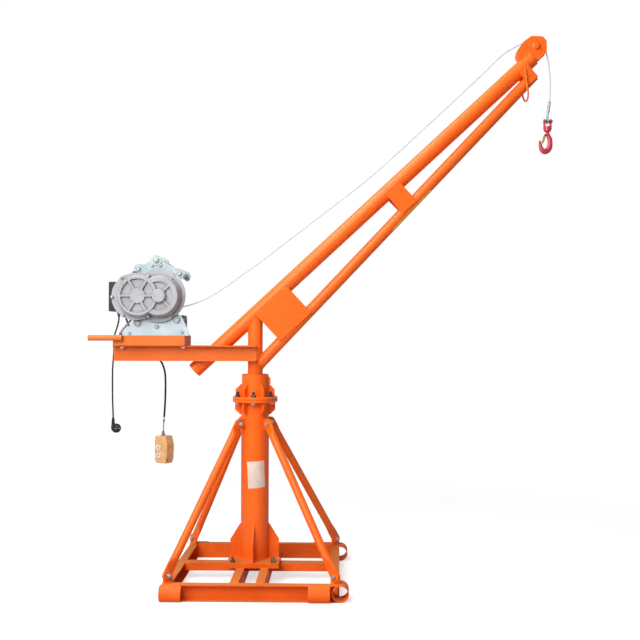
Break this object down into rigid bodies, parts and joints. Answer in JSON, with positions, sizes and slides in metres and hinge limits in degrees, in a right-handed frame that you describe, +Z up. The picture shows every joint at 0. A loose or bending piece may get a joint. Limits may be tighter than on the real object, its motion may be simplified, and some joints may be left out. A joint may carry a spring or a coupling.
{
  "type": "portable mini crane",
  "caption": "Slewing mini crane: braced column on a channel frame, inclined twin-tube boom, tail winch, wire rope over a head sheave to a swivel hook.",
  "frame": {"origin": "On the ground under the slew axis, the column's centre line.", "axes": "+X along the boom towards the hook, +Y away from the gear case side, +Z up the slew axis."},
  "size_m": [2.419, 0.9698, 2.844],
  "materials": {
    "orange_paint": "gloss",
    "zinc": "satin",
    "cast_grey": "satin",
    "wire_rope": "satin",
    "bronze": "satin",
    "black_plastic": "matte",
    "black_cord": "matte",
    "wrapped_plastic": "gloss",
    "red_paint": "gloss",
    "latch_plate": "satin"
  },
  "bodies": {
    "base": {"front_channel": "orange_paint", "rear_channel": "orange_paint", "left_channel": "orange_paint", "right_channel": "orange_paint", "inner_members": "orange_paint", "side_sockets": "orange_paint", "axle_sleeves": "orange_paint", "strut_lugs": "orange_paint", "seat_plate": "orange_paint", "column_foot": "orange_paint", "column_tube": "orange_paint", "lower_flange": "orange_paint", "upper_flange": "orange_paint", "socket_tube": "orange_paint", "slew_bushes": "bronze", "front_struts": "orange_paint", "rear_struts": "orange_paint", "frame_bolts": "zinc"},
    "upper": {"slew_post": "orange_paint", "main_boom_tube": "orange_paint", "lower_boom_tube": "orange_paint", "boom_plates": "orange_paint", "tip_plates": "orange_paint", "head_cheeks": "orange_paint", "sheave_pin": "orange_paint", "tip_hoop": "orange_paint", "winch_beams": "orange_paint", "winch_seat": "orange_paint", "push_handle": "orange_paint", "foot_plates": "zinc", "ear_plates": "zinc", "tie_rods": "zinc", "gear_case": "cast_grey", "case_disc": "cast_grey", "drum": "cast_grey", "rope_winding": "wire_rope", "motor": "cast_grey", "control_box": "black_plastic", "hoist_rope": "wire_rope", "rope_end": "zinc", "mains_cord": "black_cord", "mains_plug": "black_plastic", "pendant_cord": "black_cord", "pendant": "wrapped_plastic"},
    "sheave": {"head_sheave": "zinc"},
    "yoke": {"hook_yoke": "red_paint"},
    "hook": {"hook": "red_paint"},
    "latch": {"hook_latch": "latch_plate"}
  },
  "joints": [
    {"name": "slew", "type": "hinge", "parent": "base", "child": "upper", "pos_m": [0, 0, 1], "axis": [0, 0, 1], "continuous": true},
    {"name": "sheave_spin", "type": "hinge", "parent": "upper", "child": "sheave", "pos_m": [1.47292, 0, 2.79091], "axis": [0, 1, 0], "continuous": true},
    {"name": "yoke_swing", "type": "hinge", "parent": "upper", "child": "yoke", "pos_m": [1.537, 0, 2.398], "axis": [1, 0, 0], "range_deg": [-70, 70]},
    {"name": "hook_swivel", "type": "hinge", "parent": "yoke", "child": "hook", "pos_m": [1.537, 0, 2.35], "axis": [0, 0, 1], "continuous": true},
    {"name": "latch_open", "type": "hinge", "parent": "hook", "child": "latch", "pos_m": [1.524, 0, 2.326], "axis": [0, -1, 0], "range_deg": [0, 24], "stiffness_Nm_per_rad": 0.3, "springref_deg": -17.19}
  ]
}
